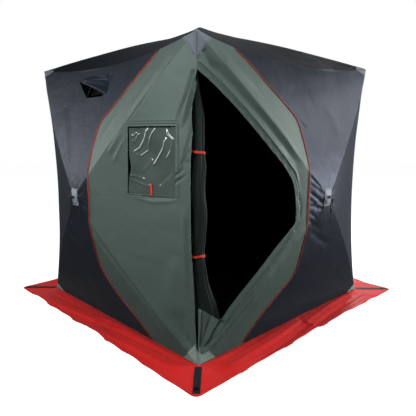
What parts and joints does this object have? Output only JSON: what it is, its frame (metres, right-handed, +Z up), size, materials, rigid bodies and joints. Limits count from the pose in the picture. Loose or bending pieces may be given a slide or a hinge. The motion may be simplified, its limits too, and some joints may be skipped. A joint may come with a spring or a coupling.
{
  "type": "pop-up ice fishing hut",
  "caption": "Square pop-up fabric shelter for ice fishing, with sprung rods and a hub in each face, a snow skirt, a corner doorway with its door rolled aside, a window and a roof vent.",
  "frame": {"origin": "on the ground, under the middle of the hut", "axes": "+Z up; the front wall with the window and vent faces -Y; the right wall with the doorway faces +X"},
  "size_m": [2.3698, 2.3698, 2.1089],
  "materials": {
    "dark_fabric": "dark coated polyester, slight sheen",
    "green_fabric": "grey-green coated polyester, slight sheen",
    "door_fabric": "grey-green polyester, rolled",
    "red_fabric": "red coated polyester",
    "red_piping": "sewn piping cord",
    "red_webbing": "woven tape",
    "grey_patch": "heavy woven reinforcement",
    "black_webbing": "woven strap",
    "black_cord": "braided cord",
    "mesh": "fine mesh",
    "clear_film": "clear soft film",
    "black_plastic": "moulded plastic",
    "fibreglass": "smooth solid rod",
    "eyelet_metal": "blackened metal"
  },
  "bodies": {
    "root": {"roof": "dark_fabric", "back_wall": "dark_fabric", "left_wall": "dark_fabric", "front_wall": "dark_fabric", "right_wall": "dark_fabric", "front_panel": "green_fabric", "door_frame": "green_fabric", "door_binding": "green_fabric", "rolled_door": "door_fabric", "door_toggles": "red_webbing", "window_film": "clear_film", "window_rim": "green_fabric", "window_tab": "red_webbing", "vent_mesh": "mesh", "vent_hood": "dark_fabric", "front_piping": "red_piping", "right_piping": "red_piping", "hub_patches": "grey_patch", "top_caps": "grey_patch", "foot_patches": "grey_patch", "hubs": "black_plastic", "corner_sockets": "black_plastic", "pull_loops": "black_webbing", "front_poles": "fibreglass", "right_poles": "fibreglass", "back_poles": "fibreglass", "left_poles": "fibreglass", "roof_poles": "fibreglass", "snow_skirt": "red_fabric", "skirt_straps": "black_webbing", "skirt_eyelets": "eyelet_metal", "front_cord_long": "black_cord", "front_cord_short": "black_cord", "right_cord_long": "black_cord", "right_cord_short": "black_cord", "back_cord_long": "black_cord", "back_cord_short": "black_cord", "left_cord_long": "black_cord", "left_cord_short": "black_cord"}
  },
  "joints": []
}
